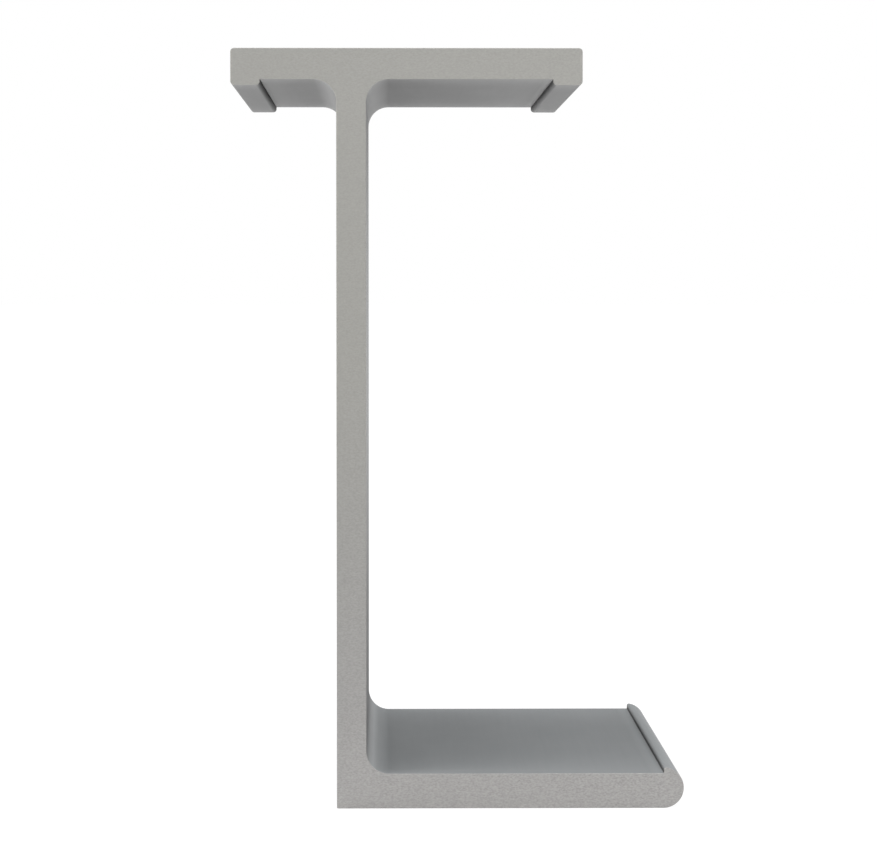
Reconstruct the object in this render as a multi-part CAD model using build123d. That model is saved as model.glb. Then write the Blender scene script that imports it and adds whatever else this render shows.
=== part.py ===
from build123d import *
import os

# A short length of steel channel, standing on its lower flange as it would on a floor.
# Sizes are in millimetres. X runs across the flanges, Y along the length and Z up the web.
# The origin is on the floor, under the middle of the whole outline.
# The section isn't a plain C. Its web is thin, its upper flange reaches out both ways and
# ends in a shallow lip on each side, and its lower flange is thicker, reaches out one way
# and ends in a raised lip with a full round nose.

# Overall sizes
depth = 200.0
length = 150.0

# Web
web_thickness = 7.8
root_radius = 6.0

# Upper flange, with the part of its width that stands out behind the web
head_width = 92.3
head_overhang = 27.7
head_thickness = 8.15
head_corner_radius = 1.0
head_lip_width = 7.7
head_lip_drop = 1.55
head_lip_radius = 1.0

# Lower flange, measured from the back of the web to the tip of its nose
foot_width = 91.6
foot_thickness = 9.2
foot_lip_width = 5.25
foot_lip_rise = 1.55
foot_lip_radius = 0.6

# The break left by a file along the sawn edges
end_break = 0.2

# Heights of the section, up from the floor
foot_top = foot_thickness
nose_radius = (foot_thickness + foot_lip_rise) / 2
head_under = depth - head_thickness
head_lip_under = head_under - head_lip_drop

# Places across the section, from the back face of the web
head_back = -head_overhang
head_front = head_width - head_overhang
back_lip_inner = head_back + head_lip_width
front_lip_inner = head_front - head_lip_width
nose_centre = foot_width - nose_radius
foot_lip_inner = foot_width - foot_lip_width

# The inner wall of the foot's lip meets the nose's arc just beside its highest point.
lip_past_centre = foot_lip_inner - nose_centre
foot_lip_top = nose_radius + (nose_radius**2 - lip_past_centre**2) ** 0.5

# The section's corners, named before any of them is rounded
heel = (0, 0)
nose_start = (nose_centre, 0)
nose_tip = (foot_width, nose_radius)
foot_lip_edge = (foot_lip_inner, foot_lip_top)
foot_lip_foot = (foot_lip_inner, foot_top)
lower_root = (web_thickness, foot_top)
upper_root = (web_thickness, head_under)
front_lip_foot = (front_lip_inner, head_under)
front_lip_edge = (front_lip_inner, head_lip_under)
front_low_corner = (head_front, head_lip_under)
front_top_corner = (head_front, depth)
back_top_corner = (head_back, depth)
back_low_corner = (head_back, head_lip_under)
back_lip_edge = (back_lip_inner, head_lip_under)
back_lip_foot = (back_lip_inner, head_under)
back_root = (0, head_under)


def corners(sketch, points):
    """The sketch's vertices at the given corners of the section."""
    return [sketch.vertices().sort_by_distance(Vector(*point))[0] for point in points]


def section():
    """The channel's section, with its roots, corners and lips rounded."""
    with BuildSketch() as sketch:
        with BuildLine():
            Line(heel, nose_start)
            ThreePointArc(nose_start, nose_tip, foot_lip_edge)
            Polyline(
                foot_lip_edge,
                foot_lip_foot,
                lower_root,
                upper_root,
                front_lip_foot,
                front_lip_edge,
                front_low_corner,
                front_top_corner,
                back_top_corner,
                back_low_corner,
                back_lip_edge,
                back_lip_foot,
                back_root,
                heel,
            )
        make_face()
        fillet(corners(sketch, [lower_root, upper_root, back_root]), root_radius)
        outer_corners = [front_low_corner, front_top_corner, back_top_corner, back_low_corner]
        fillet(corners(sketch, outer_corners), head_corner_radius)
        fillet(corners(sketch, [front_lip_edge, back_lip_edge]), head_lip_radius)
        fillet(corners(sketch, [foot_lip_edge]), foot_lip_radius)
    return sketch.sketch


def channel():
    """The section carried along the length, centred over the origin, with its sawn edges broken."""
    across_middle = (head_back + foot_width) / 2
    outline = Plane.XZ * Pos(-across_middle, 0) * section()
    bar = extrude(outline, amount=length / 2, both=True)
    sawn_faces = bar.faces().sort_by(Axis.Y)
    sawn_edges = sawn_faces[0].edges() + sawn_faces[-1].edges()
    return chamfer(sawn_edges, end_break)


os.makedirs("parts", exist_ok=True)
export_step(channel(), "parts/channel.step")
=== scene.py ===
# %% [markdown]
# # A sawn length of lipped steel channel
# The real object is one bar of steel, cut square at both ends. Its section isn't a plain C.
# The web is thin. The upper flange reaches out both ways and ends in two shallow lips.
# The lower flange is thicker, reaches out one way and ends in a raised lip with a round nose.
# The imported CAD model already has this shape, and it is loaded first as a fixed frame.

# %% Load the frame
import math

import bpy
import numpy as np
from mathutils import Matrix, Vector


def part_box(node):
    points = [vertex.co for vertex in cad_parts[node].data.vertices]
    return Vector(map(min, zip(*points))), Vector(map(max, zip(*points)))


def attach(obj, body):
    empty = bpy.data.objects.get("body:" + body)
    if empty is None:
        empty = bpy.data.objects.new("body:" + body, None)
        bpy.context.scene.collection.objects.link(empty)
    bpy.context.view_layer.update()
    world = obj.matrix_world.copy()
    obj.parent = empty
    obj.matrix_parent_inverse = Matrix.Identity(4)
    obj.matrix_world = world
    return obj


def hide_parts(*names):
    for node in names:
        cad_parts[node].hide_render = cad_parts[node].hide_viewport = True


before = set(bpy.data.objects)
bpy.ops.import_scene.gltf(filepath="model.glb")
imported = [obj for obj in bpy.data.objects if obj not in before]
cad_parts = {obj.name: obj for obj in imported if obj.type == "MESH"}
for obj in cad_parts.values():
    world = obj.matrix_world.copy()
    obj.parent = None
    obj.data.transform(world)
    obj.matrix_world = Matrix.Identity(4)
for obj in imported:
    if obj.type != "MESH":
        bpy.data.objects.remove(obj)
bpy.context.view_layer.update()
low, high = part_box("channel")
print("channel box in metres", [round(c, 4) for c in low], [round(c, 4) for c in high])

# %% [markdown]
# ## The section's sizes
# The height, the two ends and the left edge come from the frame, so the new bar can't drift
# away from the CAD. The rest are the bar's own sizes, the ones that a mill's drawing would
# give. All are in metres. Places across the section are measured from the back of the web,
# which is where a steelworker would hold a square.

# %% Sizes of the section
mm = 0.001
depth = high.z - low.z
web_thickness = 7.8 * mm
root_radius = 6.0 * mm
head_width = 92.3 * mm
head_overhang = 27.7 * mm
head_thickness = 8.15 * mm
head_corner_radius = 1.0 * mm
head_lip_width = 7.7 * mm
head_lip_drop = 1.55 * mm
head_lip_radius = 1.0 * mm
foot_width = 91.6 * mm
foot_thickness = 9.2 * mm
foot_lip_width = 5.25 * mm
foot_lip_rise = 1.55 * mm
foot_lip_radius = 0.6 * mm
crease_radius = 0.12 * mm
heel_radius = 0.3 * mm
end_break = 0.2 * mm
print("section is", round(depth / mm, 1), "mm deep")

# %% Places on the section
web_back = low.x + head_overhang
web_front = web_back + web_thickness
head_back = web_back - head_overhang
head_front = head_back + head_width
head_under = depth - head_thickness
lip_under = head_under - head_lip_drop
back_lip_inner = head_back + head_lip_width
front_lip_inner = head_front - head_lip_width
nose_radius = (foot_thickness + foot_lip_rise) / 2
nose_centre = web_back + foot_width - nose_radius
foot_lip_inner = web_back + foot_width - foot_lip_width
print("nose radius in mm", round(nose_radius / mm, 2), "web back at x", round(web_back, 4))

# %% [markdown]
# ## The outline as arcs
# A rolled section is a chain of straight runs joined by arcs. It could be drawn as a curve and
# extruded, but then Blender would guess the shading of its round edges. Here each arc is known
# by its outward normal, which turns from one angle to another. Where the normal turns left the
# corner is a rounded edge, and where it turns right the corner is a hollow root.
# Keeping the normals beside the points gives the finished mesh exact shading, and lets the
# sawn edges be softened by stepping inwards along those normals.
# Each run also carries its tones and its wear, two short lists that the finish reads later.

# %% Arcs with their normals
steps_per_turn = 96
fewest_steps = 4


def facing(angles):
    """Unit vectors (cos a, sin a) in the section's plane, for angles a in degrees."""
    turned = np.radians(angles)
    return np.stack([np.cos(turned), np.sin(turned)], axis=-1)


def graded(values, share):
    """Values spaced evenly over a run, read off in straight lines at each share of the run, 0 to 1."""
    return np.interp(share, np.linspace(0, 1, len(values)), values)


def arc(centre, radius, start, end, tones=(1,), wear=(0,)):
    """Points centre + s r n and normals n, where n turns evenly from start to end degrees.
    s is 1 where the normal turns left, on an edge, and -1 where it turns right, in a root."""
    steps = max(fewest_steps, round(steps_per_turn * abs(end - start) / 360))
    share = np.linspace(0, 1, steps + 1)
    normals = facing(start + (end - start) * share)
    side = 1 if end > start else -1
    points = np.asarray(centre) + side * radius * normals
    return points, normals, graded(tones, share), graded(wear, share)


print("a quarter turn has", len(arc((0, 0), root_radius, 0, 90)[0]), "points")

# %% Corners and flat sides
flat_steps = 20


def corner(x, z, radius, start, end, tones=(1,), wear=(0,)):
    """The arc that rounds a square corner at (x, z): its centre is one radius in from both sides."""
    side = 1 if end > start else -1
    both = facing([start, end]).sum(axis=0)
    return arc(np.array([x, z]) - side * radius * both, radius, start, end, tones, wear)


def flat(start, end, angle, tones, wear=(0,)):
    """Points on the straight side from start to end, without its two ends: start + t (end - start)."""
    share = np.linspace(0, 1, flat_steps + 2)[1:-1]
    points = np.asarray(start) + share[:, None] * (np.asarray(end) - np.asarray(start))
    return points, facing(np.full(flat_steps, angle)), graded(tones, share), graded(wear, share)


print("a graded flat side has", flat_steps, "points between its ends")

# %% [markdown]
# ## The nose and its lip
# The nose is a full half round. A small arc joins it to the lip's inner wall.
# A bevel could round that edge afterwards, but it would need a careful choice of edges, and
# the arc can be worked out. It touches the wall, and it touches the nose from inside, so its
# centre is as far from the nose's centre as the difference of the two radii. Both arcs meet on
# the line through the two centres.

# %% The two arcs of the nose
# Painted highlight on the nose's rim and the lip's top, fading into painted shade at the crease.
nose_painted_light = (1.0, 1.0, 1.0, 1.05)
nose_wear = (1, 1, 0, 0)
nose_lip_painted_light = (1.05, 1.1, 1.1, 0.8)
lip_centre_x = foot_lip_inner + foot_lip_radius
centre_gap = nose_radius - foot_lip_radius
lip_centre_z = nose_radius + math.sqrt(centre_gap**2 - (lip_centre_x - nose_centre) ** 2)
nose_end = math.degrees(math.atan2(lip_centre_z - nose_radius, lip_centre_x - nose_centre))
nose = arc((nose_centre, nose_radius), nose_radius, -90, nose_end, nose_painted_light, nose_wear)
nose_lip = arc((lip_centre_x, lip_centre_z), foot_lip_radius, nose_end, 180, nose_lip_painted_light)
print("nose turns from -90 to", round(nose_end, 1), "degrees")

# %% [markdown]
# ## The whole outline
# Each run's tones paint light and shade into the skin's colour. Painted shade darkens the tight
# creases by the lips, the lips' inner walls, the undersides of the head by the web, the foot by
# the web and the low part of the web. Painted highlights brighten the roots, the web's middle and
# the nose's rim. Only the head's outer corners and the heel are brighter for a real reason, polish
# where the skin wears. Such painted light could be painted on an image, but it follows the section,
# so it is kept with the outline: each run has tones, which multiply the skin's brightness and are
# spaced evenly along the run. Between two runs the tone changes evenly across the flat side that joins
# them.
# Each run has its wear too. It is 1 on the outer faces, where bars slide over rollers and
# over one another in a stack, less on the web's inner face, and 0 between the lips.

# %% Tones of the foot and the web
# Painted shade in the foot's crease by the lip.
foot_crease_painted_shade = (0.28, 1.15)
# Painted shade on the foot by the web and low on the web; painted highlights along the lower root and on
# the web's middle.
foot_painted_shade = (0.92, 0.945, 0.97, 0.985, 0.995, 1.005, 1.035, 1.085, 1.16)
lower_root_painted_light = (1.12, 1.12, 1.05, 1.17, 0.96, 0.68, 0.64)
web_painted_light = (0.68, 0.71, 0.75, 0.91, 1.12, 1.23, 1.23, 1.18, 1.1, 1.02, 0.97)
web_wear = (0, 0.6, 0.6, 0.6, 0.6, 0)
print("web's tones go from", min(web_painted_light), "to", max(web_painted_light))

# %% Tones of the head
# Painted shade under the head by the web; painted highlights along both upper roots.
upper_root_painted_light = (1.0, 1.1, 1.14, 1.06, 0.92)
head_painted_shade = (0.92, 0.92, 0.94, 0.96, 0.99, 1.01, 1.03)
# Painted shade in the head's creases and on the inner walls of its lips.
front_crease_painted_shade = (1.35, 0.38)
front_lip_painted_shade = (0.38, 0.65, 1.0)
back_corner_painted_shade = (1, 0.945)
back_lip_painted_shade = (0.945, 0.6, 0.34)
back_crease_painted_shade = (0.34, 1.35)
overhang_painted_light = (1.09, 0.98, 0.935, 0.915, 0.915, 0.94)
back_root_painted_light = (0.96, 1.1, 1.2, 1.08, 1.0)
back_root_wear = (0, 0, 0, 0.5)
# Polish: the outer edges of the head and the heel wear brighter.
edge_tones = (1.0, 1.12, 1.0)
edge_wear = (1,)
print("darkest tone of the head, in a crease by a lip:", min(back_crease_painted_shade))

# %% The whole outline
foot_top_run = (foot_lip_inner - crease_radius, foot_thickness), (web_front + root_radius, foot_thickness)
web_run = (web_front, foot_thickness + root_radius), (web_front, head_under - root_radius)
head_run = (web_front + root_radius, head_under), (front_lip_inner - crease_radius, head_under)
overhang_run = (back_lip_inner + crease_radius, head_under), (web_back - root_radius, head_under)
runs = [
    nose,
    nose_lip,
    corner(foot_lip_inner, foot_thickness, crease_radius, 180, 90, foot_crease_painted_shade),
    flat(*foot_top_run, 90, foot_painted_shade),
    corner(web_front, foot_thickness, root_radius, 90, 0, lower_root_painted_light),
    flat(*web_run, 0, web_painted_light, web_wear),
    corner(web_front, head_under, root_radius, 0, -90, upper_root_painted_light),
    flat(*head_run, -90, head_painted_shade),
    corner(front_lip_inner, head_under, crease_radius, -90, -180, front_crease_painted_shade),
    corner(front_lip_inner, lip_under, head_lip_radius, -180, -90, front_lip_painted_shade),
    corner(head_front, lip_under, head_corner_radius, -90, 0, wear=(0, 1)),
    corner(head_front, depth, head_corner_radius, 0, 90, edge_tones, edge_wear),
    corner(head_back, depth, head_corner_radius, 90, 180, edge_tones, edge_wear),
    corner(head_back, lip_under, head_corner_radius, 180, 270, back_corner_painted_shade, wear=(1, 0)),
    corner(back_lip_inner, lip_under, head_lip_radius, 270, 360, back_lip_painted_shade),
    corner(back_lip_inner, head_under, crease_radius, 360, 270, back_crease_painted_shade),
    flat(*overhang_run, -90, overhang_painted_light),
    corner(web_back, head_under, root_radius, 270, 180, back_root_painted_light, back_root_wear),
    corner(web_back, 0.0, heel_radius, 180, 270, edge_tones, edge_wear),
]
outline, outline_normals, outline_tones, outline_wear = map(np.concatenate, zip(*runs))
print("outline has", len(outline), "points")

# %% [markdown]
# ## The bar
# The bar could be an extruded curve, but its sawn edges need care. So the outline is carried
# along the length as a grid: one parameter goes round the section, and the other goes from the
# front end to the rear end. Near each end the outline steps inwards round a tiny quarter
# circle, which is the break that a file leaves on a sawn edge. Each sawn end is one flat face.

# %% Rows along the length
break_steps = 4
span_count = 12


def bar_rows():
    """Rows along the length as (place along Y, step inwards, lean of the normal towards the end).
    In the break of radius b, a turn t from 0 to 90 degrees gives the step b (1 - cos t) inwards,
    the place b (1 - sin t) from the end, and a normal that leans by sin t."""
    turn = np.linspace(90, 0, break_steps + 1)
    inset = end_break * (1 - facing(turn)[:, 0])
    from_end = end_break * (1 - facing(turn)[:, 1])
    lean = facing(turn)[:, 1]
    middle = np.linspace(low.y + end_break, high.y - end_break, span_count + 1)[1:-1]
    along = np.concatenate([low.y + from_end, middle, (high.y - from_end)[::-1]])
    inwards = np.concatenate([inset, np.zeros(len(middle)), inset[::-1]])
    leaning = np.concatenate([-lean, np.zeros(len(middle)), lean[::-1]])
    return along, inwards, leaning


along, inwards, leaning = bar_rows()
print("rows along the bar", len(along))

# %% [markdown]
# ## Painted light at the ends of the undersides
# Undersides are painted paler towards both ends: painted light, where more light reaches them past the
# open ends.
# The tones already follow the section, so this change along the length multiplies them.

# %% Tones on every row
# Painted light: undersides paler towards the open ends.
end_light_reach = 40 * mm
end_light_gain = 0.14
to_end = np.minimum(along - low.y, high.y - along)
painted_end_light = end_light_gain * np.clip(1 - to_end / end_light_reach, 0, 1) ** 2
downwards = np.clip(-outline_normals[:, 1], 0, 1)
bar_tones = outline_tones * (1 + painted_end_light[:, None] * downwards)
print("tones go from", round(bar_tones.min(), 2), "to", round(bar_tones.max(), 2))

# %% [markdown]
# ## The bar's mesh
# Smooth shading alone would bend the light across the flat sides. The mesh gets its exact
# normals instead, one for each corner of a face, so that the flats stay flat and the arcs stay
# round with few faces. The tones and the wear go into the mesh as attributes.

# %% Build the mesh
def ring_faces(rows, around):
    """Four-sided faces between neighbouring rows, closed round the section, and the two end faces."""
    index = np.arange(rows * around).reshape(rows, around)
    here, ahead = index[:-1], index[1:]
    quads = np.stack([here, ahead, np.roll(ahead, -1, 1), np.roll(here, -1, 1)], axis=-1)
    return quads.reshape(-1, 4), [index[0].tolist(), index[-1][::-1].tolist()]


def bar_mesh(name):
    """The grid of outline points by rows, P = outline - inwards n, closed round the section,
    with one flat face at each end and exact normals n sqrt(1 - lean^2) + lean y."""
    rows, around = len(along), len(outline)
    stepped = outline[None] - inwards[:, None, None] * outline_normals[None]
    points = np.empty((rows, around, 3))
    points[..., 0], points[..., 2] = stepped[..., 0], stepped[..., 1]
    points[..., 1] = along[:, None]
    upright = np.sqrt(1 - leaning**2)[:, None]
    normals = np.empty_like(points)
    normals[..., 0] = upright * outline_normals[None, :, 0]
    normals[..., 2] = upright * outline_normals[None, :, 1]
    normals[..., 1] = leaning[:, None]

    quads, ends = ring_faces(rows, around)
    mesh = bpy.data.meshes.new(name)
    mesh.from_pydata(points.reshape(-1, 3), [], quads.tolist() + ends)
    mesh.polygons.foreach_set("use_smooth", np.ones(len(mesh.polygons), bool))
    front_normals = np.tile([0.0, -1.0, 0.0], (around, 1))
    rear_normals = np.tile([0.0, 1.0, 0.0], (around, 1))
    side_normals = normals.reshape(-1, 3)[quads.ravel()]
    mesh.normals_split_custom_set(np.concatenate([side_normals, front_normals, rear_normals]))
    tone = mesh.attributes.new("tone", "FLOAT", "POINT")
    tone.data.foreach_set("value", bar_tones.ravel())
    wear = mesh.attributes.new("wear", "FLOAT", "POINT")
    wear.data.foreach_set("value", np.tile(outline_wear, rows))
    return mesh


bar = bpy.data.objects.new("channel_bar", bar_mesh("channel_bar"))
bpy.context.scene.collection.objects.link(bar)
print("bar has", len(bar.data.polygons), "faces")

# %% [markdown]
# ## The camera
# The camera stands about a metre in front of the sawn end, a little above the middle of the
# section, with a long lens. It looks slightly down and slightly to the right.
# The lens is given as a number of pixels, which is how a measured view is usually known, and
# is turned into Blender's millimetres. Both angles are in radians.

# %% Camera
picture_width = 877
sensor_width = 36.0
focal_pixels = 3668.7
nearest_seen = 0.05
camera_from_web_back = 12.94 * mm
camera_height = 137.0 * mm
camera_distance = 963.3 * mm
camera_yaw = 0.0144
camera_pitch = 0.03713

camera = bpy.data.cameras.new("camera")
camera.sensor_width = sensor_width
camera.lens = focal_pixels / picture_width * sensor_width
camera.clip_start = nearest_seen
viewer = bpy.data.objects.new("camera", camera)
viewer.location = (web_back + camera_from_web_back, low.y - camera_distance, camera_height)
viewer.rotation_euler = (math.radians(90) - camera_pitch, 0.0, -camera_yaw)
bpy.context.scene.collection.objects.link(viewer)
bpy.context.scene.camera = viewer
print("lens in mm", round(camera.lens, 1))

# %% [markdown]
# ## Two finishes
# The bar is one steel, but it has two skins. The rolled faces keep the thin oxide that forms
# while the bar cools, which is a plain dark grey, smooth and only partly metallic to the eye.
# The ends were sawn through, so they show bare warm grey metal with a fine even grain.
# Photographs of steel could be wrapped round the bar, but they would need seams and a fixed
# size. Both finishes are made with nodes that read Object coordinates instead, so a pattern
# stays fixed to the steel and keeps its real size.

# %% Helpers for nodes
grid_of_nodes = 220


def add_node(tree, kind, column=0, row=0, **inputs):
    """A node of the given kind with its input sockets set or linked by name.
    An underscore in a name stands for a space, and a socket as a value makes a link."""
    node = tree.nodes.new(kind)
    node.location = (column * grid_of_nodes, -row * grid_of_nodes)
    for name, value in inputs.items():
        socket = node.inputs[name.replace("_", " ")]
        if isinstance(value, bpy.types.NodeSocket):
            tree.links.new(value, socket)
        else:
            socket.default_value = value
    return node


def new_finish(name):
    """A material with its node tree and its main shader."""
    finish = bpy.data.materials.new(name)
    finish.use_nodes = True
    return finish, finish.node_tree, finish.node_tree.nodes["Principled BSDF"]


print("new helpers: add_node and new_finish")

# %% Helpers for noise
middle_of_noise = (0.25, 0.75)


def drawn_noise(tree, row, size, stretch, detail):
    """Noise whose grains measure about size, in metres, times stretch along each axis."""
    place = add_node(tree, "ShaderNodeTexCoord", 0, row)
    scale = tuple(1 / (size * part) for part in stretch)
    mapped = add_node(tree, "ShaderNodeMapping", 1, row, Vector=place.outputs["Object"], Scale=scale)
    noise = add_node(
        tree, "ShaderNodeTexNoise", 2, row, Vector=mapped.outputs["Vector"], Scale=1.0, Detail=detail
    )
    return noise.outputs["Fac"]


def ranged(tree, column, row, value, reach, new_reach=(0.0, 1.0), clamp=True):
    """A value moved in a straight line, so that the two ends of its reach land on the new ones."""
    moved = add_node(tree, "ShaderNodeMapRange", column, row, Value=value)
    moved.clamp = clamp
    moved.inputs["From Min"].default_value, moved.inputs["From Max"].default_value = reach
    moved.inputs["To Min"].default_value, moved.inputs["To Max"].default_value = new_reach
    return moved.outputs["Result"]


def spread(tree, row, noise, middle, swing):
    """A noise whose middle half, 0.25 to 0.75, is moved to middle - swing to middle + swing."""
    new_reach = (middle - swing, middle + swing)
    return ranged(tree, 3, row, noise, middle_of_noise, new_reach, clamp=False)


print("new helpers: drawn_noise, ranged and spread")

# %% Helpers for arithmetic
def blended(tree, column, row, kind, *values):
    """One step of arithmetic of the given kind on two or three values, each a number or a socket."""
    step = add_node(tree, "ShaderNodeMath", column, row)
    step.operation = kind
    for socket, value in zip(step.inputs, values):
        if isinstance(value, bpy.types.NodeSocket):
            tree.links.new(value, socket)
        else:
            socket.default_value = value
    return step.outputs["Value"]


def carried(tree, column, row, name):
    """The value that the mesh carries under a name."""
    node = add_node(tree, "ShaderNodeAttribute", column, row)
    node.attribute_name = name
    return node.outputs["Fac"]


print("new helpers: blended and carried")

# %% Helpers for colours
def colour_ramp(tree, column, row, value, colours):
    """A colour that follows a value from 0 to 1, given as {value: colour}."""
    ramp = add_node(tree, "ShaderNodeValToRGB", column, row, Fac=value)
    stops = ramp.color_ramp.elements
    while len(stops) < len(colours):
        stops.new(1.0)
    for stop, (place, colour) in zip(stops, colours.items()):
        stop.position = place
        stop.color = (*colour, 1)
    return ramp.outputs["Color"]


def tinted(tree, column, colour, brightness):
    """A colour times a brightness: each channel is c b."""
    product = add_node(tree, "ShaderNodeVectorMath", column)
    product.operation = "SCALE"
    tree.links.new(colour, product.inputs[0])
    tree.links.new(brightness, product.inputs["Scale"])
    return product.outputs["Vector"]


print("new helpers: colour_ramp and tinted")

# %% [markdown]
# ## The rolled skin
# The skin has fine streaks along the bar, which the rolls draw out. On the worn outer faces it
# also has soft clouds, shallow pits where oxide has flaked off, and a few long rubs, where
# rollers and other bars have polished it. A rub is a little brighter, smoother and lower than
# the skin round it. It could be drawn as single lines, but a much stretched noise that shows
# only at its highest values is just as sparse and never repeats.
# The oxide is neutral. Faces that point up get a painted cool tint, a painted reflection of the sky.

# %% Streaks, clouds and rubs
streak_size = 1.2 * mm
streak_stretch = 40
streak_depth = 0.015
cloud_size = 16 * mm
cloud_stretch = 2
cloud_depth = 0.035
rub_size = 0.9 * mm
rub_stretch = 70
rub_reach = (0.6, 0.75)
rub_brightness = 0.11

mill_skin, tree, shader = new_finish("mill_skin")
wear = carried(tree, 2, 2, "wear")
streaks = drawn_noise(tree, 0, streak_size, (1, streak_stretch, 1), detail=2.0)
clouds = drawn_noise(tree, 3, cloud_size, (1, cloud_stretch, 1), detail=3.0)
rubs = drawn_noise(tree, 4, rub_size, (1, rub_stretch, 1), detail=1.0)
worn_rubs = blended(tree, 4, 4, "MULTIPLY", ranged(tree, 3, 4, rubs, rub_reach), wear)
worn_clouds = blended(tree, 4, 3, "MULTIPLY", spread(tree, 3, clouds, 0.0, cloud_depth), wear)
clouded = blended(tree, 5, 0, "ADD", spread(tree, 0, streaks, 1.0, streak_depth), worn_clouds)
rubbed = blended(tree, 6, 0, "MULTIPLY_ADD", worn_rubs, rub_brightness, clouded)
# The tone brings the outline's painted light and shade, and the polish on the outer edges, into the
# skin's colour.
brightness = blended(tree, 7, 0, "MULTIPLY", rubbed, carried(tree, 6, 2, "tone"))
print("a rub is up to", rub_brightness, "brighter than the skin round it")

# %% Colour of the skin
# Upward faces get a painted sky reflection as a cooler colour.
skin_colours_with_painted_sky_tint = {0: (0.2492, 0.248, 0.2473), 1: (0.2408, 0.2495, 0.2542)}
place = add_node(tree, "ShaderNodeTexCoord", 5, 3)
upward = add_node(tree, "ShaderNodeSeparateXYZ", 6, 3, Vector=place.outputs["Normal"])
colour = tinted(tree, 8, colour_ramp(tree, 7, 3, upward.outputs["Z"], skin_colours_with_painted_sky_tint), brightness)
tree.links.new(colour, shader.inputs["Base Color"])
print("skin facing up", skin_colours_with_painted_sky_tint[1], "and any other way", skin_colours_with_painted_sky_tint[0])

# %% Gloss of the skin
smear_size = 14 * mm
smear_stretch = 3
skin_roughness = 0.52
smear_depth = 0.05
rub_polish = -0.1
smears = drawn_noise(tree, 1, smear_size, (1, smear_stretch, 1), detail=3.0)
smeared = spread(tree, 1, smears, skin_roughness, smear_depth)
roughness = blended(tree, 5, 1, "MULTIPLY_ADD", worn_rubs, rub_polish, smeared)
tree.links.new(roughness, shader.inputs["Roughness"])
shader.inputs["Metallic"].default_value = 0.3
shader.inputs["Specular IOR Level"].default_value = 0.0
print("roughness is about", skin_roughness, "and a rub takes off up to", -rub_polish)

# %% Pits in the skin
pit_size = 1.1 * mm
pit_stretch = 1.6
pit_depth = 0.15 * mm
pit_strength = 0.6
pits = drawn_noise(tree, 5, pit_size, (1, pit_stretch, 1), detail=2.0)
pits_without_rubs = blended(tree, 4, 5, "SUBTRACT", pits, worn_rubs)
worn_pits = blended(tree, 5, 5, "MULTIPLY", pits_without_rubs, wear)
relief = add_node(
    tree, "ShaderNodeBump", 8, 5, Height=worn_pits, Strength=pit_strength, Distance=pit_depth
)
tree.links.new(relief.outputs["Normal"], shader.inputs["Normal"])
print("rolled skin has", len(tree.nodes), "nodes")

# %% [markdown]
# ## The sawn ends
# A saw leaves a fine grain on a cut end, drawn out a little in the direction of its stroke.
# Here the stroke runs across the bar, and the cut ends at the foot, where the blade leaves
# the steel with a coarser grain. The end's brightness is painted light and shade: painted light
# low on the foot, where less light reaches it, and painted shade across the web's middle. So the
# grain's depth and the brightness both follow a curve of the height, and both grow a little
# along the stroke. The metal is nearly neutral at the foot and turns a little warmer up the web.

# %% Helpers for a change across the end
def height_ramp(tree, row, colours):
    """A colour that follows the height above the floor, given as {height in mm: colour}."""
    place = add_node(tree, "ShaderNodeTexCoord", 0, row)
    height = add_node(tree, "ShaderNodeSeparateXYZ", 1, row, Vector=place.outputs["Object"])
    share = ranged(tree, 2, row, height.outputs["Z"], (0.0, depth))
    by_share = {up * mm / depth: colour for up, colour in colours.items()}
    return colour_ramp(tree, 3, row, share, by_share)


def by_height(tree, row, values):
    """A value that follows the height, given as {height in mm: value}. The ramp holds each value
    as a share of the largest, since its colours are meant for 0 to 1."""
    largest = max(values.values())
    greys = {up: (value / largest,) * 3 for up, value in values.items()}
    return blended(tree, 4, row, "MULTIPLY", height_ramp(tree, row, greys), largest)


def along_stroke(tree, row, value, growth):
    """A value times 1 + g x, where g is the growth per metre along the saw's stroke."""
    place = add_node(tree, "ShaderNodeTexCoord", 2, row)
    across = add_node(tree, "ShaderNodeSeparateXYZ", 3, row, Vector=place.outputs["Object"])
    slope = blended(tree, 4, row, "MULTIPLY_ADD", across.outputs["X"], growth, 1.0)
    return blended(tree, 5, row, "MULTIPLY", value, slope)


print("new helpers: height_ramp, by_height and along_stroke")

# %% Colour of the sawn ends
grain_size = 0.33 * mm
grain_stretch = 1.9
brightness_growth = 0.48
grain_growth = 3.0
# Painted light and shade on the sawn end, by height: brighter low on the foot, darker across the web's
# middle.
painted_light_by_height = {0: 1.09, 12: 1.027, 25: 0.968, 65: 0.933, 120: 0.972, 185: 1.026}
grain_by_height = {0: 0.19, 9: 0.165, 28: 0.12, 68: 0.1, 120: 0.076, 200: 0.078}
sawn_colours = {
    10: (0.341, 0.331, 0.323),
    28: (0.341, 0.3315, 0.323),
    68: (0.341, 0.333, 0.319),
    120: (0.341, 0.3335, 0.3125),
    190: (0.341, 0.334, 0.315),
}

sawn_end, tree, shader = new_finish("sawn_end")
grain = drawn_noise(tree, 0, grain_size, (grain_stretch, 1, 1), detail=2.0)
centred = spread(tree, 0, grain, 0.0, 1.0)
brightness = along_stroke(tree, 3, by_height(tree, 2, painted_light_by_height), brightness_growth)
grain_depth = along_stroke(tree, 5, by_height(tree, 4, grain_by_height), grain_growth)
grained = blended(tree, 6, 2, "MULTIPLY_ADD", centred, grain_depth, brightness)
colour = tinted(tree, 7, height_ramp(tree, 6, sawn_colours), grained)
tree.links.new(colour, shader.inputs["Base Color"])
print("grain measures", round(grain_size / mm, 2), "mm")

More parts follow.
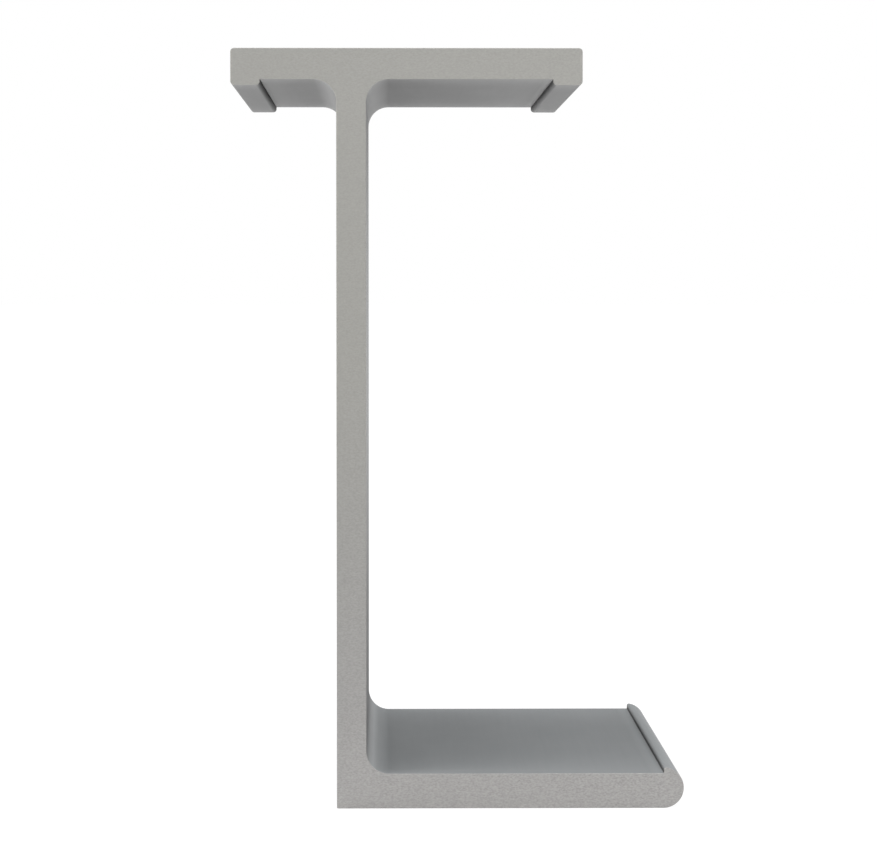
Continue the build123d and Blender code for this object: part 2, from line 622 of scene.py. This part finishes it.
# %% Gloss and grooves of the sawn ends
groove_depth = 0.02 * mm
groove_strength = 0.3
grooves = add_node(
    tree, "ShaderNodeBump", 4, 1, Height=grain, Strength=groove_strength, Distance=groove_depth
)
tree.links.new(grooves.outputs["Normal"], shader.inputs["Normal"])
shader.inputs["Metallic"].default_value = 0.2
shader.inputs["Roughness"].default_value = 0.6
shader.inputs["Specular IOR Level"].default_value = 0.0
print("sawn end has", len(tree.nodes), "nodes")

# %% [markdown]
# ## Each face gets its finish
# The faces were made row by row, so the filed breaks are the first and the last of the long
# faces, and the two ends come after them. Breaks and ends are bare metal, and the rest is
# rolled skin. Three runs of faces are quicker to name than each face by where it points.

# %% Give each face its finish
end_faces = 2
break_faces = break_steps * len(outline)
bar.data.materials.append(mill_skin)
bar.data.materials.append(sawn_end)
finish_of_face = np.zeros(len(bar.data.polygons), np.int32)
finish_of_face[:break_faces] = 1
finish_of_face[-end_faces - break_faces :] = 1
bar.data.polygons.foreach_set("material_index", finish_of_face)
print("faces with the sawn finish", int(finish_of_face.sum()))

# %% [markdown]
# ## Floor and sky
# The bar stands on a plain pale floor under a plain white sky. To the eye, and in a
# reflection, both are white. More light would make them so, but it would bleach the bar.
# So what lights the bar is gentler: for diffuse light the floor is an ordinary pale surface
# and the sky is about half as strong, which leaves room for lamps that give the bar its
# shape. The floor still darkens a little where the bar shades it.

# %% Helper for what is seen
def seen_apart(tree, lighting, seen):
    """The lighting shader for diffuse light, and the seen shader for light paths from the camera,
    a gloss or a see-through surface."""
    path = add_node(tree, "ShaderNodeLightPath", 0, 2)
    share = path.outputs["Is Camera Ray"]
    for column, kind in enumerate(("Is Glossy Ray", "Is Transmission Ray"), start=1):
        share = blended(tree, column, 2, "MAXIMUM", share, path.outputs[kind])
    chosen = add_node(tree, "ShaderNodeMixShader", 3, 0, Fac=share)
    tree.links.new(lighting, chosen.inputs[1])
    tree.links.new(seen, chosen.inputs[2])
    return chosen.outputs["Shader"]


print("new helper: seen_apart")

# %% Sky
sky_strength = 0.6
sky_colour = (0.97, 0.99, 1.0, 1.0)
sky = bpy.data.worlds.new("sky")
sky.use_nodes = True
# An even sky needs no map of where its light comes from.
sky.cycles.sampling_method = "NONE"
bpy.context.scene.world = sky
tree = sky.node_tree
lit = tree.nodes["Background"]
lit.inputs["Color"].default_value = sky_colour
lit.inputs["Strength"].default_value = sky_strength
white = add_node(tree, "ShaderNodeBackground", 1, 1, Color=(1, 1, 1, 1), Strength=1.0)
chosen = seen_apart(tree, lit.outputs["Background"], white.outputs["Background"])
tree.links.new(chosen, tree.nodes["World Output"].inputs["Surface"])
print("sky strength for diffuse light", sky_strength)

# %% Floor
floor_reach = 30.0
floor_colour = (0.88, 0.88, 0.88, 1.0)
floor_shade_colour = (0.1, 0.1, 0.1, 1.0)
floor_glow = 0.95
floor_mesh = bpy.data.meshes.new("floor")
floor_corners = floor_reach * np.array([[-1, -1, 0], [1, -1, 0], [1, 1, 0], [-1, 1, 0]])
floor_mesh.from_pydata(floor_corners, [], [(0, 1, 2, 3)])
floor = bpy.data.objects.new("floor", floor_mesh)
bpy.context.scene.collection.objects.link(floor)
print("floor reaches", floor_reach, "m each way")

# %% Finish of the floor
pale, tree, shader = new_finish("pale_floor")
tree.nodes.remove(shader)
# The glow is only for the eye, so rays need not aim at it as they do at a lamp.
pale.cycles.emission_sampling = "NONE"
plain = add_node(tree, "ShaderNodeBsdfDiffuse", 0, 0, Color=floor_colour)
shaded = add_node(tree, "ShaderNodeBsdfDiffuse", 0, 1, Color=floor_shade_colour)
glow = add_node(tree, "ShaderNodeEmission", 1, 1, Strength=floor_glow)
both = add_node(tree, "ShaderNodeAddShader", 2, 1)
tree.links.new(shaded.outputs["BSDF"], both.inputs[0])
tree.links.new(glow.outputs["Emission"], both.inputs[1])
chosen = seen_apart(tree, plain.outputs["BSDF"], both.outputs["Shader"])
tree.links.new(chosen, tree.nodes["Material Output"].inputs["Surface"])
floor_mesh.materials.append(pale)
print("floor glows by", floor_glow, "where it is seen")

# %% [markdown]
# ## Softboxes
# A bare bulb would give the steel hard shadows. So each lamp is a large square panel that faces
# the bar from two metres away, as a photographer's softbox does. The strongest three stand on
# the left, high on the left and overhead. A weaker one stands behind on the right, and the two
# weakest fill the front from both sides.

# %% Lamps
lamp_distance = 2.0
lamp_side = 1.2


def softbox(name, turn, rise, watts):
    """A square lamp at distance d from the bar, turned about it from the front towards the right
    and raised from level, both in degrees: (sin t cos r, -cos t cos r, sin r) d.
    The camera sees its light but not the lamp itself."""
    lamp = bpy.data.lights.new(name, "AREA")
    lamp.shape = "SQUARE"
    lamp.size = lamp_side
    lamp.energy = watts
    around, up = math.radians(turn), math.radians(rise)
    level = math.cos(up)
    direction = Vector((math.sin(around) * level, -math.cos(around) * level, math.sin(up)))
    holder = bpy.data.objects.new(name, lamp)
    holder.location = Vector((0, 0, depth / 2)) + direction * lamp_distance
    holder.rotation_euler = direction.to_track_quat("Z", "Y").to_euler()
    holder.visible_camera = False
    bpy.context.scene.collection.objects.link(holder)
    return holder


softboxes = {
    "front_right": (45, 5, 6.0),
    "back_right": (135, 18, 12.0),
    "left": (270, 5, 19.0),
    "left_top": (270, 60, 20.0),
    "front_left_top": (315, 60, 9.0),
    "top": (0, 90, 18.0),
}
for name, (turn, rise, watts) in softboxes.items():
    softbox(name, turn, rise, watts)
print("lamps", len(softboxes))

# %% [markdown]
# ## The finished bar
# The new mesh takes the place of the plain CAD piece, which is hidden. It rides on the body named root.

# %% Finish
bpy.context.scene.view_settings.view_transform = "Standard"
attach(bar, "root")
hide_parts("channel")
